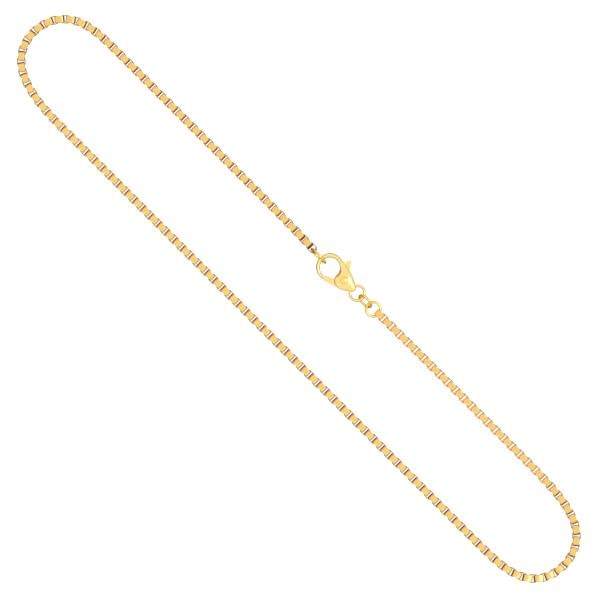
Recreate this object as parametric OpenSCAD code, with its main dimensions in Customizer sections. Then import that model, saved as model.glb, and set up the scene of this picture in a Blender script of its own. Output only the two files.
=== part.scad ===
// Box chain necklace, closed by its lobster clasp and lying flat.
// Every second link stands on its edge. The chain runs from the end ring in the clasp's hook, once
// round the loop, to the chain ring behind the clasp's tail. Lengths are in millimetres.

/* [Chain] */
// Width and height of the chain
chain_width = 2.44; // [2.2:0.02:2.6]
// Thickness of the flat strip that the links are bent from
strip_thickness = 0.22; // [0.16:0.01:0.24]
// Free play between a link's strip and the neighbour that it passes through, each side
side_play = 0.19; // [0.18:0.01:0.26]
// Distance from one link's centre to the next
link_pitch = 1.58; // [1.5:0.01:1.7]
// Gap between the ends of two links that face the same way
face_gap = 0.46; // [0.3:0.02:0.6]
// Outer corner radius of a link
link_corner = 0.8; // [0.6:0.05:0.9]
// Height by which the last link is lifted into the end ring
end_lift = 1.1; // [0.9:0.05:1.3]

/* [Rings] */
// Outer diameter of the ring between the chain and the clasp's hook
end_ring_diameter = 6; // [5.6:0.1:6.6]
// Wire of that ring
end_ring_wire = 0.7; // [0.6:0.05:0.8]
// Outer diameter of the ring through the clasp's tail
tail_ring_diameter = 4.9; // [4.6:0.1:5.4]
// Outer diameter of the ring between the tail ring and the chain ring
joining_ring_diameter = 5; // [4.8:0.1:5.2]
// Outer diameter of the ring through the chain's first link
chain_ring_diameter = 4.8; // [4.6:0.1:5.4]
// Wire of the three rings behind the clasp
ring_wire = 0.75; // [0.65:0.05:0.75]
// Lean of the joining ring, from lying flat
joining_ring_lean = 65; // [60:1:70]
// Lean of the end ring, from lying flat
end_ring_lean = 79; // [74:1:80]
// Tilt of the chain ring, whose far side lies on the joining ring
chain_ring_tilt = 8; // [6:1:10]

/* [Clasp] */
// Diameter of the eye inside the hook
eye_diameter = 5.6; // [5.2:0.1:6.2]
// Wire of the hook
hook_wire = 1.25; // [1.1:0.05:1.3]
// Thickness of the clasp at its rivet
clasp_thickness = 3.2; // [2.8:0.1:3.6]
// Thickness of the clasp where the hook begins
root_thickness = 1.5; // [1.4:0.05:1.8]
// Height of the clasp's middle plane above the surface
clasp_height = 1.9; // [1.85:0.05:2.2]
// Distance from the eye's centre to the rivet
rivet_distance = 5.3; // [5.1:0.1:5.8]
// Radius of the two cheeks round the rivet
cheek_radius = 2.75; // [2.5:0.05:3]
// Distance from the rivet to the hole in the tail
tail_distance = 3.22; // [3.1:0.02:3.8]
// Radius of the rounded tail
tail_radius = 1.05; // [1:0.05:1.25]
// Diameter of the hole through the tail
tail_hole = 1.4; // [1.3:0.05:1.5]

/* [Lever] */
// Thickness of the lever between the cheeks
lever_thickness = 1; // [0.8:0.05:1.2]
// Thickness of the gate and the thumb tab outside the cheeks
gate_thickness = 1.3; // [1.2:0.05:1.6]
// Radius of the lever's hub
hub_radius = 1.7; // [1.5:0.05:1.9]
// Reach of the gate's end from the rivet
gate_reach = 5.8; // [5.6:0.05:6]
// Radius of the thumb tab's rounded corners
thumb_corner = 0.45; // [0.3:0.05:0.55]
// Angle by which the lever opens
lever_swing = 25; // [15:1:28]
// Diameter of the rivet's shank
rivet_diameter = 1.2; // [1:0.05:1.5]
// Diameter of the rivet's heads
rivet_head = 2.2; // [1.9:0.1:2.4]

/* [Hidden] */

// Fits and clearances
lever_gap = 0.1;
rivet_gap = 0.02;
hinge_gap = 0.05;
seam_gap = 0.1;
tail_gap = 0.12;
ring_gap = 0.25;
hook_gap = 0.55;
run_gap = 0.15;

// Smoothness of round shapes, and a length that reaches past everything in the clasp
arc_steps = 48;
bar_steps = 16;
corner_steps = 6;
link_arc_steps = 24;
far = 20;

chain_colour = [0.96, 0.78, 0.42];
ring_colour = [0.93, 0.80, 0.40];
clasp_colour = [1, 0.86, 0.52];

// Half the distance between the two long strands
strand = 13;

// Sizes that follow from the ones above
link_length = 2 * link_pitch - face_gap;
strip_width = chain_width - 2 * strip_thickness - 2 * side_play;
chain_height = chain_width / 2;
hook_radius = (eye_diameter + hook_wire) / 2;
end_ring_radius = (end_ring_diameter - end_ring_wire) / 2;
tail_ring_radius = (tail_ring_diameter - ring_wire) / 2;
joining_ring_radius = (joining_ring_diameter - ring_wire) / 2;
chain_ring_radius = (chain_ring_diameter - ring_wire) / 2;

// The clasp lies along the X axis, with the eye's centre at its own origin. Its hook runs from one
// direction to another round the eye, and its cheeks taper from the rivet to the root and the tail
eye_from_strand = 0.66;
rivet_rise = 0.25;
tail_rise = 0.15;
eye = [0, strand - eye_from_strand];
rivet = [rivet_distance, rivet_rise];
tail = rivet + [tail_distance, tail_rise];
hook_start = 48;
hook_end = 287;
root = [1.6, 3.1];
root_radius = 0.8;
root_distance = norm(root - rivet);
root_drop = (clasp_thickness - root_thickness) / 2;
dome_radius = (pow(root_distance, 2) + pow(root_drop, 2)) / (2 * root_drop);
face_step = 0.1;

// The lever's gate and thumb tab: corners from the rivet, each with its radius. The tab's base meets
// the slot's edge on the root's side
gate_corners = [[-1.3, -0.9, 0], [0.9, -0.9, 0], [0.55, -2.62, 0.5], [-5.2, -4.42, 0],
                [-4.9, -3.02, 0.1], [-4.15, -2.42, 0.3]];
thumb_base = [-2.95, 3.3, 0.5];
thumb_corners = [[0.6, 1.3, 0], [-2.19, 5.37, thumb_corner], [-3.26, 4.68, thumb_corner],
                 thumb_base, [-1.5, 0.7, 0]];
thumb_step = 3.7;

// The slot for the lever: its depth behind the gate and its edges, as directions from the rivet. It
// gives the thumb tab's own edge room to swing
slot_height = lever_thickness + 2 * lever_gap;
thumb_edge = 73;
base_clearance = 6;
slot_beyond_cheeks = 0.65;
slot_depth = cheek_radius + slot_beyond_cheeks;
slot_thumb_edge = thumb_edge - lever_swing;
slot_root_edge = atan2(thumb_base.y, thumb_base.x) + base_clearance;
slot_gate_edge = 304;
slot_lap = 2;

// Places of the rings along the closed end, worked out from one ring to the next
rings_from_strand = 0.3;
end_ring_from_strand = 0.6;
ring_y = strand - rings_from_strand;
end_ring_y = strand - end_ring_from_strand;
end_ring_x = -eye_diameter / 2 + hook_gap + end_ring_wire - end_ring_diameter / 2;
tail_ring_x = tail.x - tail_gap + tail_ring_radius;
joining_ring_x = tail_ring_x + tail_ring_radius - ring_wire - ring_gap + joining_ring_radius;
chain_ring_x = joining_ring_x + joining_ring_radius - ring_wire - ring_gap + chain_ring_radius;
end_ring_height = end_ring_radius * sin(end_ring_lean) + end_ring_wire / 2;
joining_ring_height = joining_ring_radius * sin(joining_ring_lean) + ring_wire / 2;
chain_ring_low = 1.65;
chain_ring_height = chain_ring_low + chain_ring_radius * sin(chain_ring_tilt);

// The chain's centreline from above: a smooth curve near these points, from the end ring round the
// left bend, along the lower strand, round the right bend and back to the chain ring. Its first and
// last three points are set by the two rings.
start_reach = 0.38;
end_reach = 0.3;
end_from_strand = 0.15;
chain_start = [end_ring_x - end_ring_radius - start_reach, ring_y];
chain_end = [chain_ring_x + chain_ring_radius + end_reach, strand - end_from_strand];
start_lead = [-3.5, 0.1];
end_lead = [3.5, 0.05];
route = concat(
    [chain_start - start_lead, chain_start, chain_start + start_lead],
    [[-18, 13], [-30, 13], [-46, 13], [-60, 13], [-70, 13], [-77, 13]],
    [[-84.4, 13], [-92.2, 13], [-99, 11.6], [-103.6, 7.8], [-105.8, 2]],
    [[-105.2, -4], [-101.8, -9], [-95.6, -11.8], [-87.6, -13], [-79, -13]],
    [[-70, -13], [-56, -13], [-36, -13], [-12, -13], [12, -13], [36, -13], [56, -13], [70, -13]],
    [[79, -13], [87.4, -13], [95.2, -12.6], [101.4, -10.2], [105, -5.4]],
    [[105.8, 0.8], [104, 6.6], [99.4, 10.6], [92.4, 12.4], [84.4, 13]],
    [[76, 13], [66, 13], [52, 13], [40, 13], [30, 13]],
    [chain_end + end_lead, chain_end, chain_end - end_lead]
);
spans = len(route) - 4;
span_steps = 16;

// Length of chain over which the last link's lift dies away
lift_span = 9;

// Links in the middle of the chain that are one plain run of the chain's outline, so that the
// loose links stay few enough to handle
run_links = 28;
run_sides = 8;
run_rings_apart = 5;

// Weights of four neighbouring points on a cubic B-spline, at t from 0 to 1
function weights(t) = [pow(1 - t, 3), 3 * pow(t, 3) - 6 * pow(t, 2) + 4,
                       -3 * pow(t, 3) + 3 * pow(t, 2) + 3 * t + 1, pow(t, 3)] / 6;
function on_span(span, t) = weights(t) * [for (k = [0:3]) route[span + k]];

path = [for (span = [0:spans]) for (step = [0:span_steps - 1]) on_span(span, step / span_steps),
        on_span(spans, 1)];

// Distance travelled along the path to each of its points
travel = [for (i = 0, s = 0; i < len(path);
               s = s + (i + 1 < len(path) ? norm(path[i + 1] - path[i]) : 0), i = i + 1) s];
chain_travel = travel[len(travel) - 1];
x_at = [for (i = [0:len(path) - 1]) [travel[i], path[i].x]];
y_at = [for (i = [0:len(path) - 1]) [travel[i], path[i].y]];
function lift_at(s) = s < lift_span ? end_lift * pow(1 - s / lift_span, 2) : 0;
function centre_at(s) = [lookup(s, x_at), lookup(s, y_at), chain_height + lift_at(s)];

// An even number of links fills the route, so that the first stands on edge and the last lies flat
link_count = 2 * round((chain_travel / link_pitch + 1) / 2);
spacing = chain_travel / (link_count - 1);
run_first = (link_count - run_links) / 2;
run_last = run_first + run_links - 1;

// Direction of travel at s, taken across one link
function heading(s) =
    let (a = centre_at(max(0, s - spacing / 2)), b = centre_at(min(chain_travel, s + spacing / 2)))
    (b - a) / norm(b - a);

function direction(angle) = [cos(angle), sin(angle)];

function arc(centre, radius, from_angle, to_angle, steps = bar_steps) =
    [for (i = [0:steps]) centre + radius * direction(from_angle + (to_angle - from_angle) * i / steps)];

// Points round an outline, which is given by its corners, each [x, y, radius], anticlockwise. A
// corner with no radius stays sharp
function flat(corner) = [corner.x, corner.y];
function toward(from, to) = (to - from) / norm(to - from);
function rounded(corners) = [for (i = [0:len(corners) - 1])
    let (here = flat(corners[i]), radius = corners[i].z,
         before = toward(here, flat(corners[(i + len(corners) - 1) % len(corners)])),
         after = toward(here, flat(corners[(i + 1) % len(corners)])),
         half = acos(before * after) / 2,
         inward = (before + after) / norm(before + after),
         left = before.y * after.x - before.x * after.y > 0 ? 1 : -1,
         middle_angle = atan2(-inward.y, -inward.x))
    each radius == 0 ? [here]
        : arc(here + inward * radius / sin(half), radius, middle_angle - left * (90 - half),
              middle_angle + left * (90 - half), corner_steps)];

// Places the whole necklace in the middle of its own box
low_y = -strand - chain_width / 2;
high_y = eye.y + rivet.y + max([for (point = rounded(thumb_corners)) point.y]);
middle = [0, -(low_y + high_y) / 2, 0];

// Straight-sided bar with round ends, with its sides tangent to both ends
module bar(from, from_radius, to, to_radius) {
    along = to - from;
    turn = atan2(along.y, along.x);
    open = acos((from_radius - to_radius) / norm(along));
    polygon(concat(arc(from, from_radius, turn + open, turn + 360 - open),
                   arc(to, to_radius, turn - open, turn + open)));
}

// Sector of a circle from one direction to another
module sector(radius, from_angle, to_angle) {
    polygon(concat([[0, 0]], arc([0, 0], radius, from_angle, to_angle)));
}

module rounded_outline(length, width, corner) {
    square([length, width - 2 * corner], center = true);
    square([length - 2 * corner, width], center = true);
    for (x = [-1, 1]) for (y = [-1, 1])
        translate([x * (length / 2 - corner), y * (width / 2 - corner)])
            circle(r = corner, $fn = link_arc_steps);
}

// One link lying along X with its loop flat, centred on the origin
module link() {
    linear_extrude(strip_width, center = true)
        difference() {
            rounded_outline(link_length, chain_width, link_corner);
            rounded_outline(link_length - 2 * strip_thickness, chain_width - 2 * strip_thickness,
                            link_corner - strip_thickness);
        }
}

module placed_link(index) {
    forward = heading(index * spacing);
    on_edge = index % 2 == 0;
    translate(centre_at(index * spacing))
        rotate([0, -asin(forward.z), atan2(forward.y, forward.x)])
            rotate([on_edge ? 0 : 90, 0, 0])
                link();
}

module chain_links() {
    color(chain_colour) translate(middle)
        for (index = [0:link_count - 1])
            if (index < run_first || index > run_last) placed_link(index);
}

// Outline of the chain across its travel: the corners that its two kinds of link reach
function run_section() =
    let (a = strip_width / 2, b = chain_width / 2)
    [[b, a], [a, b], [-a, b], [-b, a], [-b, -a], [-a, -b], [a, -b], [b, -a]];

function run_ring(s) =
    let (c = centre_at(s), d = heading(s), across = [-d.y, d.x, 0])
    [for (p = run_section()) c + across * p.x + [0, 0, p.y]];

module chain_run() {
    start = (run_first - 1) * spacing + link_length / 2 + run_gap;
    end = (run_last + 1) * spacing - link_length / 2 - run_gap;
    rings = max(2, ceil((end - start) / run_rings_apart));
    stations = [for (i = [0:rings]) start + (end - start) * i / rings];
    points = [for (s = stations) each run_ring(s)];
    sides = [for (i = [0:rings - 1]) for (k = [0:run_sides - 1])
        let (a = i * run_sides + k, b = i * run_sides + (k + 1) % run_sides)
        [a, b, b + run_sides, a + run_sides]];
    first_cap = [for (k = [0:run_sides - 1]) run_sides - 1 - k];
    last_cap = [for (k = [0:run_sides - 1]) rings * run_sides + k];
    color(chain_colour) translate(middle)
        polyhedron(points = points, faces = concat([first_cap, last_cap], sides), convexity = 4);
}

module wire_ring(radius, wire) {
    rotate_extrude($fn = arc_steps)
        translate([radius, 0]) circle(d = wire, $fn = link_arc_steps);
}

module end_ring() {
    color(ring_colour) translate(middle + [end_ring_x, end_ring_y, end_ring_height])
        rotate([end_ring_lean, 0, 0]) wire_ring(end_ring_radius, end_ring_wire);
}

module tail_ring() {
    color(ring_colour) translate(middle + [tail_ring_x, ring_y, clasp_height])
        wire_ring(tail_ring_radius, ring_wire);
}

module joining_ring() {
    color(ring_colour) translate(middle + [joining_ring_x, ring_y, joining_ring_height])
        rotate([joining_ring_lean, 0, 0]) wire_ring(joining_ring_radius, ring_wire);
}

module chain_ring() {
    color(ring_colour) translate(middle + [chain_ring_x, ring_y, chain_ring_height])
        rotate([0, chain_ring_tilt, 0]) wire_ring(chain_ring_radius, ring_wire);
}

// Moves what is drawn round the eye's centre to the clasp's place
module in_clasp() {
    translate(middle + [eye.x, eye.y, clasp_height]) children();
}

// Lens that domes the clasp's two faces, thickest at the rivet
module dome() {
    translate([rivet.x, rivet.y, 0]) intersection() {
        translate([0, 0, clasp_thickness / 2 - dome_radius]) sphere(r = dome_radius, $fn = 2 * arc_steps);
        translate([0, 0, dome_radius - clasp_thickness / 2]) sphere(r = dome_radius, $fn = 2 * arc_steps);
    }
}

module cheek_outline() {
    difference() {
        union() {
            bar(root, root_radius, rivet, cheek_radius);
            bar(rivet, cheek_radius, tail, tail_radius);
        }
        circle(d = eye_diameter, $fn = arc_steps);
    }
}

module hook() {
    rotate([0, 0, hook_start])
        rotate_extrude(angle = hook_end - hook_start, $fn = arc_steps)
            translate([hook_radius, 0]) circle(d = hook_wire, $fn = link_arc_steps);
}

// Room in the clasp for the lever and its swing. It opens wider at the thumb tab, as deep as the
// hook's root
module lever_slot() {
    translate([rivet.x, rivet.y, 0])
        linear_extrude(slot_height, center = true) {
            circle(r = hub_radius + lever_gap, $fn = arc_steps);
            sector(slot_depth, slot_root_edge - slot_lap, slot_gate_edge);
            sector(root_distance, slot_thumb_edge, slot_root_edge);
        }
}

// Space swept by the gate's end, which stops the hook short of the gate
module gate_sweep() {
    intersection() {
        translate([rivet.x, rivet.y, -far / 2])
            cylinder(r = gate_reach + seam_gap, h = far, $fn = 2 * arc_steps);
        translate([0, -hook_radius - hook_wire, -far / 2])
            cube([eye_diameter, 2 * hook_wire, far]);
    }
}

module clasp_body() {
    color(clasp_colour) in_clasp() difference() {
        union() {
            intersection() {
                linear_extrude(clasp_thickness, center = true) cheek_outline();
                dome();
            }
            hook();
        }
        lever_slot();
        gate_sweep();
        translate([rivet.x, rivet.y, -far / 2])
            cylinder(d = rivet_diameter + 2 * rivet_gap, h = far, $fn = arc_steps);
        for (side = [-1, 1])
            translate([rivet.x, rivet.y, side * (clasp_thickness / 2 + far / 2 - face_step - rivet_gap)])
                cylinder(d = rivet_head + 2 * rivet_gap, h = far, center = true, $fn = arc_steps);
        translate([tail.x, tail.y, 0]) rotate([90, 0, 0])
            cylinder(d = tail_hole, h = far, center = true, $fn = arc_steps);
    }
}

module lever_outline() {
    circle(r = hub_radius, $fn = arc_steps);
    polygon(rounded(thumb_corners));
    intersection() {
        polygon(rounded(gate_corners));
        circle(r = gate_reach, $fn = 2 * arc_steps);
    }
}

// Parts of the lever's outline that lie outside the cheeks: the gate and the thumb tab
module lever_outside() {
    difference() {
        lever_outline();
        circle(r = cheek_radius + lever_gap, $fn = arc_steps);
        translate([-far / 2, 0]) square([far, thumb_step]);
    }
}

module clasp_lever() {
    color(clasp_colour) in_clasp() translate([rivet.x, rivet.y, 0]) difference() {
        union() {
            linear_extrude(lever_thickness, center = true) lever_outline();
            linear_extrude(gate_thickness, center = true) lever_outside();
        }
        cylinder(d = rivet_diameter + 2 * hinge_gap, h = far, center = true, $fn = arc_steps);
    }
}

module clasp_rivet() {
    color(ring_colour) in_clasp() translate([rivet.x, rivet.y, 0]) {
        cylinder(d = rivet_diameter, h = clasp_thickness, center = true, $fn = arc_steps);
        for (side = [-1, 1])
            translate([0, 0, side * clasp_thickness / 2])
                cylinder(d = rivet_head, h = 2 * face_step, center = true, $fn = arc_steps);
    }
}

chain_links();
chain_run();
end_ring();
clasp_body();
clasp_lever();
clasp_rivet();
tail_ring();
joining_ring();
chain_ring();
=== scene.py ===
import bisect
import math
import random

import bmesh
import bpy
from mathutils import Matrix, Vector


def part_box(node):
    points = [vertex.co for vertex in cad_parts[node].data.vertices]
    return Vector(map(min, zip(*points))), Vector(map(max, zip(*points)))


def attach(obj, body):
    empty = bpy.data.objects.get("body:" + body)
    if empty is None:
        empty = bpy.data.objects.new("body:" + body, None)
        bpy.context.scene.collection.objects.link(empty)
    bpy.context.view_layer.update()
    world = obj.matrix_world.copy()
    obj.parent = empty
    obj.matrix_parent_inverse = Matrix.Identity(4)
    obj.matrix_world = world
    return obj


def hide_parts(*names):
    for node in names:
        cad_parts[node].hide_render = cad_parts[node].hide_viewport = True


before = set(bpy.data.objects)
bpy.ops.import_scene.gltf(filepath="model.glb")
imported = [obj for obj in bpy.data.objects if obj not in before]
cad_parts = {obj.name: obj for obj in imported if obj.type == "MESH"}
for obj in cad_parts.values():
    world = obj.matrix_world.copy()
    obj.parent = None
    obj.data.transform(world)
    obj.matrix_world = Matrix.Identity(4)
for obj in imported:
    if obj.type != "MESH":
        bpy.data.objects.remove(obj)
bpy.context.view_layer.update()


# The chain is a box chain in yellow gold. Each link is a short loop of flat strip, bent square with
# rounded corners and soldered shut, and turned a quarter turn from the last. The strips' long edges
# are softened by tumbling.
MM = 0.001
link_pitch = 1.58 * MM
flat_length, upright_length = 2.7 * MM, 2.64 * MM
link_width = 2.46 * MM
link_corner = 0.8 * MM
front_corner, back_corner, straight_corner = 0.42 * MM, 0.6 * MM, 0.55 * MM
corner_steps = 3
flat_width, upright_width = 1.7 * MM, 1.8 * MM
strip_thickness = 0.29 * MM
strip_edge = 0.09 * MM
chain_height = 1.31 * MM
end_lift = 1.1 * MM
lift_span = 9 * MM

# Points no further apart than this, in millimetres, are one point
same_point = 0.001

# Half the size of a shape that is made 1 across, and then scaled
half_unit = 0.5

# A strip's cut rims are its edges sharper than rim_angle, and its walls are the faces whose normals rise
# less than wall_rise
rim_angle = math.radians(60)
wall_rise = 0.5

# How dark the painted shade on a strip is, from 0 for none to 1: on its rims, inside the loop, at its back
# end and, lighter, at the other end. The painted shade sets in part of the way round the corners, and one
# half of the back end has less of it.
rim_shade, inner_shade = 0.2, 0.5
back_end_shade, slight_shade = 1.0, 0.1
shade_from, shade_span = 0.5, 0.36
less_shaded_half = 0.3

# Each link is twisted a little by chance. Those on edge lean, with their darkly shaded back end raised, up
# to a point on the way round. From there on they stand straight, and all back ends have only slight painted
# shade.
handwork_seed = 18
link_twist = math.radians(0.5)
link_lean = math.radians(7)
lean_until = 362 * MM
lean_fade = 8 * MM

# The chain's route from above, in millimetres, with the two long strands 13 to each side of the middle
strand = 13
chain_start = (-7.58, 12.7)
chain_end = (19.15, 12.85)
route = [
    (-4.08, 12.6), chain_start, (-11.08, 12.8),
    (-18, 13), (-30, 13), (-46, 13), (-60, 13), (-70, 13), (-77, 13),
    (-84.4, 13), (-92.2, 13), (-99, 11.6), (-103.6, 7.8), (-105.8, 2),
    (-105.2, -4), (-101.8, -9), (-95.6, -11.8), (-87.6, -13), (-79, -13),
    (-70, -13), (-56, -13), (-36, -13), (-12, -13), (12, -13), (36, -13), (56, -13), (70, -13),
    (79, -13), (87.4, -13), (95.2, -12.6), (101.4, -10.2), (105, -5.4),
    (105.8, 0.8), (104, 6.6), (99.4, 10.6), (92.4, 12.4), (84.4, 13),
    (76, 13), (66, 13), (52, 13), (40, 13), (30, 13),
    (22.65, 12.9), chain_end, (15.65, 12.8),
]
span_steps = 16

run_low, run_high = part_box("chain_run")
middle_y = (run_low[1] + run_high[1]) / 2 + strand * MM


def on_span(span, t):
    """Point of the route's smooth curve, a cubic B-spline on four points, at t from 0 to 1 of a span."""
    weights = ((1 - t) ** 3, 3 * t ** 3 - 6 * t ** 2 + 4, -3 * t ** 3 + 3 * t ** 2 + 3 * t + 1, t ** 3)
    x = sum(weight * route[span + k][0] for k, weight in enumerate(weights)) / 6
    y = sum(weight * route[span + k][1] for k, weight in enumerate(weights)) / 6
    return Vector((x * MM, y * MM + middle_y, 0))


spans = len(route) - 3
path = [on_span(span, step / span_steps) for span in range(spans) for step in range(span_steps)]
path.append(on_span(spans - 1, 1))
travel = [0.0]
for before, after in zip(path, path[1:]):
    travel.append(travel[-1] + (after - before).length)
chain_travel = travel[-1]


def centre_at(s):
    """Place of the chain's centreline after travelling s along it. Its start is lifted by end_lift."""
    s = min(max(s, 0.0), chain_travel)
    i = min(bisect.bisect_right(travel, s), len(path) - 1)
    share = (s - travel[i - 1]) / (travel[i] - travel[i - 1])
    place = path[i - 1].lerp(path[i], share)
    lift = end_lift * (1 - s / lift_span) ** 2 if s < lift_span else 0
    return place + Vector((0, 0, chain_height + lift))


# An even number of links, from a flat one to one on edge
link_count = 2 * round((chain_travel / link_pitch + 1) / 2)
spacing = chain_travel / (link_count - 1)


def strip_link(link_length, strip_width, back_shade, back, front):
    """One link with its loop flat along X: a rounded outline drawn up into a strip, then thickened.
    The end at -X has corners of radius back, and painted shade as dark as back_shade."""
    bm = bmesh.new()
    bmesh.ops.create_grid(bm, x_segments=1, y_segments=1, size=half_unit)
    bmesh.ops.scale(bm, vec=(link_length, link_width, 1), verts=bm.verts)
    for side, corner in ((-1, back), (1, front)):
        ends = [v for v in bm.verts if v.co.x * side > link_length / 2 - same_point * MM]
        bmesh.ops.bevel(bm, geom=ends, offset=corner, offset_type="OFFSET", segments=corner_steps,
                        profile=0.5, affect="VERTICES", material=-1)
    bmesh.ops.delete(bm, geom=bm.faces[:], context="FACES_ONLY")
    drawn = bmesh.ops.extrude_edge_only(bm, edges=bm.edges[:])
    top = [v for v in drawn["geom"] if isinstance(v, bmesh.types.BMVert)]
    bmesh.ops.translate(bm, vec=(0, 0, strip_width), verts=top)
    bmesh.ops.translate(bm, vec=(0, 0, -strip_width / 2), verts=bm.verts)
    bmesh.ops.recalc_face_normals(bm, faces=bm.faces)
    bmesh.ops.solidify(bm, geom=bm.faces[:], thickness=strip_thickness)
    bmesh.ops.recalc_face_normals(bm, faces=bm.faces)
    rims = [e for e in bm.edges if abs(e.verts[0].co.z - e.verts[1].co.z) < strip_edge
            and e.calc_face_angle() > rim_angle]
    bmesh.ops.bevel(bm, geom=rims, offset=strip_edge, offset_type="OFFSET", segments=1, profile=0.5,
                    affect="EDGES", material=-1)
    # Painted shade: darker rims, inside of the loop and ends, where shade falls in and between the links
    depth = bm.verts.layers.float.new("depth")
    walls = [face for face in bm.faces if abs(face.normal.z) < wall_rise]
    inner = {v for face in walls if face.normal.dot(face.calc_center_median()) < 0 for v in face.verts}
    outer = {v for face in walls for v in face.verts} - inner
    for v in bm.verts:
        corner = back if v.co.x < 0 else front
        bend = (abs(v.co.x) - link_length / 2 + corner) / corner
        if v in inner:
            v[depth] = inner_shade
        elif v in outer:
            share = back_shade * (1 if v.co.y > 0 else less_shaded_half) if v.co.x < 0 else slight_shade
            v[depth] = share * min(max((bend - shade_from) / shade_span, 0), 1)
        else:
            v[depth] = rim_shade
    mesh = bpy.data.meshes.new("strip_link")
    bm.to_mesh(mesh)
    bm.free()
    return mesh


def finished(name, bm, material, sharp_angle=math.radians(40)):
    """A piece made from its bmesh, smooth but for the edges sharper than the angle."""
    bmesh.ops.recalc_face_normals(bm, faces=bm.faces)
    for face in bm.faces:
        face.smooth = True
    mesh = bpy.data.meshes.new(name)
    bm.to_mesh(mesh)
    bm.free()
    mesh.set_sharp_from_angle(angle=sharp_angle)
    mesh.materials.append(material)
    piece = bpy.data.objects.new(name, mesh)
    bpy.context.scene.collection.objects.link(piece)
    return piece


# The polish on all the gold: where its patches of the second tone begin and are full, how fine both
# patterns are, how much longer than wide its hairlines are, how far they change the roughness, and
# how deep its dents go
patch_start, patch_full = 0.35, 0.7
patch_detail, hairline_detail = 3, 2
hairline_stretch = 6
roughness_spread = 0.3
dent_depth = 0.01 * MM


def gold(name, tone, shade, roughness, grain, dent, painted_shade_tone=None):
    """Polished gold: two close tones in soft patches, hairline polishing marks, small dents, and a dark
    painted shade tone where the depth attribute asks for it."""
    material = bpy.data.materials.new(name)
    material.use_nodes = True
    nodes, links = material.node_tree.nodes, material.node_tree.links
    metal = nodes["Principled BSDF"]
    metal.inputs["Metallic"].default_value = 1.0
    place = nodes.new("ShaderNodeTexCoord")

    patches = nodes.new("ShaderNodeTexNoise")
    patches.inputs["Scale"].default_value = grain
    patches.inputs["Detail"].default_value = patch_detail
    links.new(place.outputs["Object"], patches.inputs["Vector"])
    tones = nodes.new("ShaderNodeMix")
    tones.data_type = "RGBA"
    tones.inputs["A"].default_value = (*tone, 1)
    tones.inputs["B"].default_value = (*shade, 1)
    share = nodes.new("ShaderNodeMapRange")
    share.inputs["From Min"].default_value = patch_start
    share.inputs["From Max"].default_value = patch_full
    links.new(patches.outputs["Fac"], share.inputs["Value"])
    links.new(share.outputs["Result"], tones.inputs["Factor"])
    # Painted shade: the depth attribute mixes the dark tone into the colour
    if painted_shade_tone:
        depth = nodes.new("ShaderNodeAttribute")
        depth.attribute_name = "depth"
        shaded_tone = nodes.new("ShaderNodeMix")
        shaded_tone.data_type = "RGBA"
        shaded_tone.inputs["B"].default_value = (*painted_shade_tone, 1)
        links.new(depth.outputs["Fac"], shaded_tone.inputs["Factor"])
        links.new(tones.outputs["Result"], shaded_tone.inputs["A"])
        links.new(shaded_tone.outputs["Result"], metal.inputs["Base Color"])
    else:
        links.new(tones.outputs["Result"], metal.inputs["Base Color"])

    stretch = nodes.new("ShaderNodeMapping")
    stretch.inputs["Scale"].default_value = (1, hairline_stretch, hairline_stretch)
    links.new(place.outputs["Object"], stretch.inputs["Vector"])
    hairlines = nodes.new("ShaderNodeTexNoise")
    hairlines.inputs["Scale"].default_value = grain * hairline_stretch
    hairlines.inputs["Detail"].default_value = hairline_detail
    links.new(stretch.outputs["Vector"], hairlines.inputs["Vector"])
    polish = nodes.new("ShaderNodeMapRange")
    polish.inputs["To Min"].default_value = roughness * (1 - roughness_spread)
    polish.inputs["To Max"].default_value = roughness * (1 + roughness_spread)
    links.new(hairlines.outputs["Fac"], polish.inputs["Value"])
    links.new(polish.outputs["Result"], metal.inputs["Roughness"])
    dents = nodes.new("ShaderNodeBump")
    dents.inputs["Strength"].default_value = dent
    dents.inputs["Distance"].default_value = dent_depth
    links.new(hairlines.outputs["Fac"], dents.inputs["Height"])
    links.new(dents.outputs["Normal"], metal.inputs["Normal"])
    return material


# The strip's near-black tone is painted shade on its rims, its loop's inside and its ends
strip_gold = gold("strip_gold", tone=(0.98, 0.62, 0.185), shade=(0.95, 0.58, 0.16), roughness=0.22,
                  grain=900, dent=0.25, painted_shade_tone=(0.03, 0.018, 0.009))

# Links up to lean_until get dark painted shade at their back ends, the rest only slight painted shade
flat_link = strip_link(flat_length, flat_width, back_end_shade, link_corner, link_corner)
upright_link = strip_link(upright_length, upright_width, back_end_shade, back_corner, front_corner)
less_shaded_flat = strip_link(flat_length, flat_width, slight_shade, link_corner, link_corner)
less_shaded_upright = strip_link(upright_length, upright_width, slight_shade, straight_corner, straight_corner)
handwork = random.Random(handwork_seed)
bm = bmesh.new()
for index in range(link_count):
    on_edge = index % 2
    s = index * spacing
    forward = (centre_at(s + spacing / 2) - centre_at(s - spacing / 2)).normalized()
    turn = Matrix.Rotation(math.atan2(forward.y, forward.x), 4, "Z")
    slope = Matrix.Rotation(-math.asin(forward.z), 4, "Y")
    quarter = Matrix.Rotation(math.pi / 2 * on_edge, 4, "X")
    twist = Matrix.Rotation(handwork.uniform(-link_twist, link_twist), 4, "Z")
    leaning = min(max((lean_until - s) / lean_fade, 0), 1) if on_edge else 0
    lean = Matrix.Rotation(link_lean * leaning, 4, "Y")
    start = len(bm.verts)
    if s < lean_until:
        bm.from_mesh(upright_link if on_edge else flat_link)
    else:
        bm.from_mesh(less_shaded_upright if on_edge else less_shaded_flat)
    bm.verts.ensure_lookup_table()
    place = Matrix.Translation(centre_at(s)) @ turn @ slope @ lean @ twist @ quarter
    bmesh.ops.transform(bm, matrix=place, verts=bm.verts[start:])
for link in (flat_link, upright_link, less_shaded_flat, less_shaded_upright):
    bpy.data.meshes.remove(link)
chain = finished("box_chain", bm, strip_gold)
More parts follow.
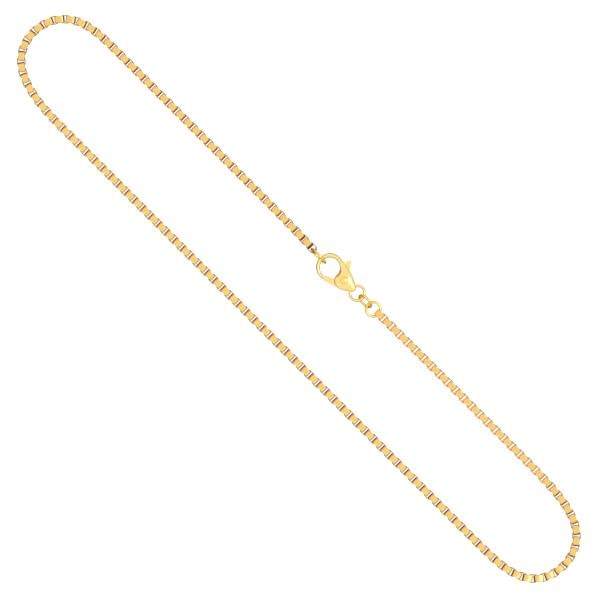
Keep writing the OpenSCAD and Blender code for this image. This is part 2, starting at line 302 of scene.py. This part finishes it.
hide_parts("chain_links", "chain_run")
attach(chain, "necklace")


# The rings are round gold wire, closed and soldered. The end ring stands on edge in the clasp's hook.
# Behind the clasp the tail ring and the chain ring lie flat, with the joining ring leaning between.
wire_gold = gold("wire_gold", tone=(1.0, 0.76, 0.24), shade=(0.97, 0.67, 0.17), roughness=0.14,
                 grain=500, dent=0.12)
ring_steps = 64
wire_steps = 20


def node_centre(name):
    """The middle of the box round one of the frame's nodes."""
    low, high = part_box(name)
    return (Vector(low) + Vector(high)) / 2


def wire_ring(name, outer, wire, lean=0, tilt=0, raised=0):
    """A ring of round wire, outer across, in the place of its node. It lies flat, or is leaned over about
    X and tilted about Y."""
    bm = bmesh.new()
    made = bmesh.ops.create_circle(bm, segments=wire_steps, radius=wire / 2)
    bmesh.ops.rotate(bm, cent=(0, 0, 0), matrix=Matrix.Rotation(math.pi / 2, 3, "X"), verts=made["verts"])
    bmesh.ops.translate(bm, vec=((outer - wire) / 2, 0, 0), verts=made["verts"])
    bmesh.ops.spin(bm, geom=bm.edges[:], cent=(0, 0, 0), axis=(0, 0, 1), angle=2 * math.pi,
                   steps=ring_steps, use_merge=True)
    bmesh.ops.remove_doubles(bm, verts=bm.verts, dist=same_point * MM)
    centre = node_centre(name) + Vector((0, 0, raised))
    place = Matrix.Translation(centre) @ Matrix.Rotation(tilt, 4, "Y") @ Matrix.Rotation(lean, 4, "X")
    bmesh.ops.transform(bm, matrix=place, verts=bm.verts)
    ring = finished(name + "_wire", bm, wire_gold)
    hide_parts(name)
    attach(ring, "necklace")


wire_ring("end_ring", outer=6 * MM, wire=0.76 * MM, lean=math.radians(84), raised=0.04 * MM)
wire_ring("tail_ring", outer=4.92 * MM, wire=0.79 * MM)
wire_ring("joining_ring", outer=5.02 * MM, wire=0.79 * MM, lean=math.radians(65))
wire_ring("chain_ring", outer=4.82 * MM, wire=0.79 * MM, tilt=math.radians(8))


# The clasp's body is one casting in pale gold: a tapering hook, two domed cheeks with a slot between
# for the lever, and a drilled tail. It is modelled round the eye's centre in millimetres: the cheeks
# and the hook are fused and softened as a casting is, and its slot and holes are then cut.
# Its red-brown tone is a painted shadow along the seam between the gate's tip and the hook's end
casting_gold = gold("casting_gold", tone=(1.0, 0.78, 0.3), shade=(1.0, 0.74, 0.26), roughness=0.16,
                    grain=300, dent=0.04, painted_shade_tone=(0.20, 0.07, 0.02))
eye_radius = 2.8
rivet_from_eye = Vector((5.3, 0.25, 0))
tail_from_eye = Vector((8.5, 0.4, 0))
root_from_eye = Vector((1.6, 3.05, 0))
cheek_radius, cheek_half = 2.75, 1.6
tail_radius, tail_half = 1.08, 0.95
root_radius, root_half = 0.85, 0.78
round_steps = 64

# The eye's edge is bevelled at 45 degrees from bevel_foot up. The slot is cut in three parts round the
# rivet, and the gate's way through the body lies below gate_way_top and short of gate_way_end.
bevel_foot, bevel_rise = 0.65, 1
seam_radius, seam_half, seam_from = 5.85, 0.13, -2.2
slot_half = 0.6
lever_room = 1.8
slot_depth, slot_directions = 3.4, (136, 304)
thumb_slot_depth, thumb_slot_directions = 4.67, (48, 138)
slot_steps = 24
gate_room = 5.9
gate_way_top, gate_way_end = -2.2, 2.2
tail_hole = 0.7
rivet_bore = 0.62
head_room, head_seat = 1.2, 1.4

# The grain that the castings are fused at, how many times each is smoothed, and how far each time
casting_grain = 0.08
cheek_softness, body_softness = 6, 4
softening = 0.5

# A tool that cuts right through is this long, and one that cuts down to a face is this high above it
through = 6
tool_height = 2

# The cheeks' dome from its rim to its top: the shares of its radius and of half its thickness
dome_profile = [(1.0, 0), (1.0, 0.5), (0.98, 0.56), (0.9, 0.66), (0.75, 0.79), (0.55, 0.905), (0.3, 0.98),
                (0.1, 1.0)]

# The hook's stations: direction from the eye's centre, width and height
hook_stations = [(18, 1.5, 1.45), (40, 1.4, 1.45), (62, 1.24, 1.4), (85, 1.2, 1.35), (110, 1.32, 1.34),
                 (132, 1.36, 1.32), (152, 1.26, 1.26), (180, 1.2, 1.22), (210, 1.14, 1.18),
                 (240, 1.06, 1.14), (265, 1.02, 1.1), (290, 1.02, 1.08)]
hook_sides = 24
hook_steps = 8


def round_layer(bm, centre, radius, z):
    """A circle of points at this height, which a hull is drawn over."""
    made = bmesh.ops.create_circle(bm, segments=round_steps, radius=radius)
    bmesh.ops.translate(bm, vec=centre + Vector((0, 0, z)), verts=made["verts"])


def cheek(ends):
    """A lens stretched between two round ends, each a centre, a radius and half a thickness."""
    bm = bmesh.new()
    for centre, radius, half in ends:
        for across, up in dome_profile:
            round_layer(bm, centre, radius * across, half * up)
            round_layer(bm, centre, radius * across, -half * up)
    hull = bmesh.ops.convex_hull(bm, input=bm.verts)
    spare = {v for v in hull["geom_interior"] + hull["geom_unused"] if isinstance(v, bmesh.types.BMVert)}
    bmesh.ops.delete(bm, geom=list(spare), context="VERTS")
    return bm


def smooth_step(a, b, t):
    """From a to b, level at both, as t goes from 0 to 1."""
    return a + (b - a) * t * t * (3 - 2 * t)


def hook_sweep():
    """The hook drawn round the eye: an oval carried from station to station."""
    stops = []
    for (from_angle, from_width, from_height), (to_angle, to_width, to_height) in zip(hook_stations,
                                                                                     hook_stations[1:]):
        for step in range(hook_steps):
            t = step / hook_steps
            stops.append((math.radians(from_angle + (to_angle - from_angle) * t),
                          smooth_step(from_width, to_width, t), smooth_step(from_height, to_height, t)))
    bm = bmesh.new()
    oval = bmesh.ops.create_circle(bm, segments=hook_sides, radius=half_unit, cap_ends=True)["verts"]
    shape = [v.co.copy() for v in oval]
    rim = bm.edges[:]
    for index, (angle, width, height) in enumerate(stops):
        if index > 0:
            drawn = bmesh.ops.extrude_edge_only(bm, edges=rim)["geom"]
            oval = [v for v in drawn if isinstance(v, bmesh.types.BMVert)]
            rim = [e for e in drawn if isinstance(e, bmesh.types.BMEdge) and all(v in oval for v in e.verts)]
        outward = Vector((math.cos(angle), math.sin(angle), 0))
        for v, place in zip(oval, shape):
            reach = eye_radius + width / 2 + place.x * width
            v.co = outward * reach + Vector((0, 0, place.y * height))
    bmesh.ops.contextual_create(bm, geom=rim)
    bmesh.ops.recalc_face_normals(bm, faces=bm.faces)
    return bm


def as_object(name, bm):
    """The bmesh as an object in the scene, for its modifiers to work on."""
    mesh = bpy.data.meshes.new(name)
    bm.to_mesh(mesh)
    bm.free()
    shape = bpy.data.objects.new(name, mesh)
    bpy.context.scene.collection.objects.link(shape)
    return shape


def discard(shape):
    """Takes a working object and its mesh out of the scene."""
    mesh = shape.data
    bpy.data.objects.remove(shape)
    bpy.data.meshes.remove(mesh)


def settle(shape):
    """Works the object's modifiers into its mesh."""
    graph = bpy.context.evaluated_depsgraph_get()
    mesh = bpy.data.meshes.new_from_object(shape.evaluated_get(graph))
    old = shape.data
    shape.modifiers.clear()
    shape.data = mesh
    bpy.data.meshes.remove(old)


def fused(name, parts, grain, softness):
    """Closed shapes fused into one casting, with its edges softened."""
    whole = bmesh.new()
    for bm in parts:
        mesh = bpy.data.meshes.new("part")
        bm.to_mesh(mesh)
        bm.free()
        whole.from_mesh(mesh)
        bpy.data.meshes.remove(mesh)
    shape = as_object(name, whole)
    casting = shape.modifiers.new("casting", "REMESH")
    casting.mode = "VOXEL"
    casting.voxel_size = grain
    settle(shape)
    bm = bmesh.new()
    bm.from_mesh(shape.data)
    for _ in range(softness):
        bmesh.ops.smooth_vert(bm, verts=bm.verts, factor=softening, use_axis_x=True, use_axis_y=True,
                              use_axis_z=True)
    bm.to_mesh(shape.data)
    bm.free()
    return shape


def cut(shape, tool_bm, operation="DIFFERENCE"):
    """Takes the tool's shape out of a casting, or with INTERSECT all that lies outside the tool."""
    tool = as_object("tool", tool_bm)
    boolean = shape.modifiers.new("cut", "BOOLEAN")
    boolean.operation = operation
    boolean.solver = "EXACT"
    boolean.object = tool
    settle(shape)
    discard(tool)


def drill(centre, radius, length, axis="Z", flare=0):
    """A round tool, centred on its place, wider at its top by flare."""
    bm = bmesh.new()
    bmesh.ops.create_cone(bm, segments=round_steps, radius1=radius, radius2=radius + flare, depth=length,
                          cap_ends=True)
    if axis == "Y":
        bmesh.ops.rotate(bm, cent=(0, 0, 0), matrix=Matrix.Rotation(math.pi / 2, 3, "X"), verts=bm.verts)
    bmesh.ops.translate(bm, vec=centre, verts=bm.verts)
    return bm


def plate(points, half, height=0):
    """A flat piece round the rivet with this outline, half this thick to each side of its height."""
    bm = bmesh.new()
    face = bm.faces.new([bm.verts.new((x, y, -half)) for x, y in points])
    drawn = bmesh.ops.extrude_face_region(bm, geom=[face])["geom"]
    top = [v for v in drawn if isinstance(v, bmesh.types.BMVert)]
    bmesh.ops.translate(bm, vec=(0, 0, 2 * half), verts=top)
    bmesh.ops.translate(bm, vec=rivet_from_eye + Vector((0, 0, height)), verts=bm.verts)
    bmesh.ops.recalc_face_normals(bm, faces=bm.faces)
    return bm


def wedge(radius, directions, half):
    """A sector of a disc round the rivet, from one direction to another, in degrees."""
    first, last = directions
    rim = [math.radians(first + (last - first) * step / slot_steps) for step in range(slot_steps + 1)]
    points = [(0, 0)] + [(radius * math.cos(angle), radius * math.sin(angle)) for angle in rim]
    return plate(points, half)


eye_place = node_centre("clasp_rivet") - rivet_from_eye * MM


def seated(shape, name, material, sharp_angle=math.radians(35)):
    """Brings a shape from the clasp's own millimetres to its place in the frame, and finishes it. The
    seam between the gate's tip and the hook's end gets a painted shadow."""
    bm = bmesh.new()
    bm.from_mesh(shape.data)
    discard(shape)
    depth = bm.verts.layers.float.new("depth")
    # Painted shadow on the seam's arc, between the gate's tip and the hook's end
    for v in bm.verts:
        reach = (v.co - rivet_from_eye).to_2d().length
        v[depth] = 1 if v.co.y < seam_from and abs(reach - seam_radius) < seam_half else 0
    bmesh.ops.transform(bm, matrix=Matrix.Translation(eye_place) @ Matrix.Scale(MM, 4), verts=bm.verts)
    return finished(name, bm, material, sharp_angle)


cheeks = fused("cheeks", [
    cheek([(root_from_eye, root_radius, root_half), (rivet_from_eye, cheek_radius, cheek_half)]),
    cheek([(rivet_from_eye, cheek_radius, cheek_half), (tail_from_eye, tail_radius, tail_half)]),
], casting_grain, cheek_softness)
cut(cheeks, drill(Vector((0, 0, 0)), eye_radius, through))
for side in (-1, 1):
    bevel = drill(Vector((0, 0, bevel_foot + bevel_rise / 2)), eye_radius, bevel_rise, flare=bevel_rise)
    bmesh.ops.scale(bevel, vec=(1, 1, side), verts=bevel.verts)
    bmesh.ops.recalc_face_normals(bevel, faces=bevel.faces)
    cut(cheeks, bevel)
body_bm = bmesh.new()
body_bm.from_mesh(cheeks.data)
discard(cheeks)
body = fused("body", [body_bm, hook_sweep()], casting_grain, body_softness)
cut(body, drill(rivet_from_eye, lever_room, 2 * slot_half))
cut(body, wedge(slot_depth, slot_directions, slot_half))
cut(body, wedge(thumb_slot_depth, thumb_slot_directions, slot_half))
gate_way = drill(rivet_from_eye, gate_room, through)
for end, outward in (((0, gate_way_top, 0), (0, 1, 0)), ((gate_way_end, 0, 0), (1, 0, 0))):
    bmesh.ops.bisect_plane(gate_way, geom=gate_way.verts[:] + gate_way.edges[:] + gate_way.faces[:],
                           plane_co=end, plane_no=outward, clear_outer=True)
    bmesh.ops.holes_fill(gate_way, edges=[e for e in gate_way.edges if e.is_boundary])
bmesh.ops.recalc_face_normals(gate_way, faces=gate_way.faces)
cut(body, gate_way)
cut(body, drill(tail_from_eye, tail_hole, through, "Y"))
cut(body, drill(rivet_from_eye, rivet_bore, through))
for side in (-1, 1):
    above_seat = Vector((0, 0, side * (head_seat + tool_height / 2)))
    cut(body, drill(rivet_from_eye + above_seat, head_room, tool_height))
body = seated(body, "clasp_casting", casting_gold)
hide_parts("clasp_body")
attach(body, "necklace")


# The clasp's lever is a second casting of the same gold. A round hub turns on the rivet between the
# cheeks, a gate closes the hook, and a thumb tab stands out on the other side.
hub_radius, hub_half = 1.7, 0.5
arm_length, arm_half, tip_half = 5.4, 0.88, 0.58
gate_reach = 5.78
lever_bore = 0.65
cheek_gap = 0.1
lever_grain, lever_softness = 0.07, 7
gate_outline = [(-1.3, -0.9), (0.9, -0.9), (0.62, -2.5), (0.2, -2.74), (-0.74, -3.04), (-1.69, -3.34),
                (-2.63, -3.64), (-3.65, -3.92), (-4.6, -4.2), (-5.4, -3.6), (-4.9, -3.02), (-4.15, -2.42),
                (-3.01, -2.03), (-2.48, -1.83)]
thumb_outline = [(0.6, 1.3), (-0.55, 2.95), (-1.3, 4.05), (-1.95, 4.95), (-2.2, 5.18), (-2.5, 5.16),
                 (-2.85, 4.92), (-3.05, 4.6), (-3.12, 4.2), (-2.98, 3.4), (-2.6, 2.4), (-1.5, 0.7)]

# Inside this line the lever is only as thick as its hub, to pass between the cheeks by the hook's root
cheek_line = [(3, 2.3), (0.65, 2.82), (-3.5, 3.83), (-4.5, 4.07), (-4.5, 0), (3, 0)]


def arm(outline):
    """A flat arm of the lever, thinning along X from the rivet to the gate's tip."""
    bm = plate(outline, arm_half)
    for v in bm.verts:
        share = (rivet_from_eye.x - v.co.x) / arm_length
        v.co.z *= 1 + (tip_half / arm_half - 1) * share
    return bm


lever = fused("lever", [
    drill(rivet_from_eye, hub_radius, 2 * hub_half),
    arm(gate_outline),
    arm(thumb_outline),
], lever_grain, lever_softness)
for side in (-1, 1):
    above_hub = side * (hub_half + tool_height / 2)
    cut(lever, drill(rivet_from_eye + Vector((0, 0, above_hub)), cheek_radius + cheek_gap, tool_height))
    cut(lever, plate(cheek_line, tool_height / 2, above_hub))
cut(lever, drill(rivet_from_eye, gate_reach, through), "INTERSECT")
cut(lever, drill(rivet_from_eye, lever_bore, through))
lever = seated(lever, "lever_casting", casting_gold)
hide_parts("clasp_lever")
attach(lever, "lever")


# The rivet is a plain gold pin with a low domed head on each face of the clasp, set in a shallow seat.
# It is turned round, and holds the cheeks and the lever together.
rivet_gold = gold("rivet_gold", tone=(1.0, 0.78, 0.28), shade=(0.92, 0.68, 0.18), roughness=0.22,
                  grain=900, dent=0.1)
rivet_profile = [(0, -1.71), (0.35, -1.7), (0.65, -1.65), (0.9, -1.56), (1.05, -1.44), (1.07, -1.41),
                 (0.6, -1.41), (0.6, 1.41), (1.07, 1.41), (1.05, 1.44), (0.9, 1.56), (0.65, 1.65),
                 (0.35, 1.7), (0, 1.71)]
rivet_steps = 48
bm = bmesh.new()
profile = [bm.verts.new((x, 0, z)) for x, z in rivet_profile]
for below, above in zip(profile, profile[1:]):
    bm.edges.new((below, above))
bmesh.ops.spin(bm, geom=bm.verts[:] + bm.edges[:], cent=(0, 0, 0), axis=(0, 0, 1), angle=2 * math.pi,
               steps=rivet_steps, use_merge=True)
bmesh.ops.remove_doubles(bm, verts=bm.verts, dist=same_point)
bmesh.ops.transform(bm, matrix=Matrix.Translation(node_centre("clasp_rivet")) @ Matrix.Scale(MM, 4),
                    verts=bm.verts)
pin = finished("rivet_pin", bm, rivet_gold, sharp_angle=math.radians(50))
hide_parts("clasp_rivet")
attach(pin, "necklace")


# The necklace lies on a plain white board in a white studio. The surroundings are warm and dimmer low
# down and pure white overhead, with a soft dark card low on one side and one soft lamp above.
white = (1, 1, 1, 1)
board_width = 3.0
board_drop = 0.02 * MM
board_tone, board_roughness, board_glow = (0.3, 0.3, 0.3, 1), 0.9, 0.95

# The surroundings' tones climb from lowest, a little under the horizon, to highest, straight up. The
# steps are shares of the way.
lowest, highest = -0.2, 1.0
low_tone = (0.5, 0.46, 0.4, 1)
middle_step, middle_tone = 0.52, (0.9, 0.88, 0.85, 1)
top_step = 0.74

board = bpy.data.materials.new("white_board")
board.use_nodes = True
surface = board.node_tree.nodes["Principled BSDF"]
surface.inputs["Base Color"].default_value = board_tone
surface.inputs["Roughness"].default_value = board_roughness
surface.inputs["Emission Color"].default_value = white
surface.inputs["Emission Strength"].default_value = board_glow
bm = bmesh.new()
bmesh.ops.create_grid(bm, x_segments=1, y_segments=1, size=board_width / 2)
bmesh.ops.translate(bm, vec=(0, 0, -board_drop), verts=bm.verts)
floor = finished("floor", bm, board)
floor.visible_glossy = False

world = bpy.data.worlds.new("studio")
world.use_nodes = True
bpy.context.scene.world = world
nodes, links = world.node_tree.nodes, world.node_tree.links
background = nodes["Background"]
direction = nodes.new("ShaderNodeTexCoord")
height = nodes.new("ShaderNodeSeparateXYZ")
links.new(direction.outputs["Generated"], height.inputs["Vector"])
above = nodes.new("ShaderNodeMapRange")
above.inputs["From Min"].default_value = lowest
above.inputs["From Max"].default_value = highest
links.new(height.outputs["Z"], above.inputs["Value"])
brightness = nodes.new("ShaderNodeValToRGB")
steps_up = brightness.color_ramp
steps_up.interpolation = "EASE"
steps_up.elements.remove(steps_up.elements[1])
steps_up.elements[0].color = low_tone
steps_up.elements.new(middle_step).color = middle_tone
steps_up.elements.new(top_step).color = white
links.new(above.outputs["Result"], brightness.inputs["Fac"])
links.new(brightness.outputs["Color"], background.inputs["Color"])


def patch(toward, inner, outer, edge, middle):
    """Share of light in a round patch of the surroundings. It changes from edge to middle between outer
    and inner, in degrees from the direction that the patch is centred on."""
    nearness = nodes.new("ShaderNodeVectorMath")
    nearness.operation = "DOT_PRODUCT"
    nearness.inputs[1].default_value = Vector(toward).normalized()
    links.new(direction.outputs["Generated"], nearness.inputs[0])
    round_patch = nodes.new("ShaderNodeMapRange")
    round_patch.interpolation_type = "SMOOTHSTEP"
    round_patch.inputs["From Min"].default_value = math.cos(math.radians(outer))
    round_patch.inputs["From Max"].default_value = math.cos(math.radians(inner))
    round_patch.inputs["To Min"].default_value = edge
    round_patch.inputs["To Max"].default_value = middle
    links.new(nearness.outputs["Value"], round_patch.inputs["Value"])
    return round_patch.outputs["Result"]


dark_card = patch(toward=(-1, -1, -0.35), inner=18, outer=40, edge=1.0, middle=0.2)
lamp = patch(toward=(0.34, 0.37, 0.86), inner=4, outer=14, edge=0.0, middle=4.0)
both = nodes.new("ShaderNodeMath")
both.operation = "ADD"
links.new(dark_card, both.inputs[0])
links.new(lamp, both.inputs[1])
links.new(both.outputs["Value"], background.inputs["Strength"])


# The camera looks straight down, turned so that the necklace lies from corner to corner. It stands
# far off, so that the links at both ends are seen from the same direction.
view_width = 168.3 * MM
camera_distance = 4.0
sensor_width = 36.0
aim_x = 0.48 * MM
aim = Vector((aim_x, middle_y, 0))
camera_data = bpy.data.cameras.new("camera")
camera_data.sensor_width = sensor_width
camera_data.lens = sensor_width * camera_distance / view_width
camera = bpy.data.objects.new("camera", camera_data)
right = Vector((1, 1, 0)).normalized()
up = Vector((-1, 1, 0)).normalized()
camera.matrix_world = Matrix.Translation(aim + Vector((0, 0, camera_distance))) @ Matrix(
    (right, up, right.cross(up))).transposed().to_4x4()
bpy.context.scene.collection.objects.link(camera)
bpy.context.scene.camera = camera
bpy.context.scene.view_settings.view_transform = "Standard"
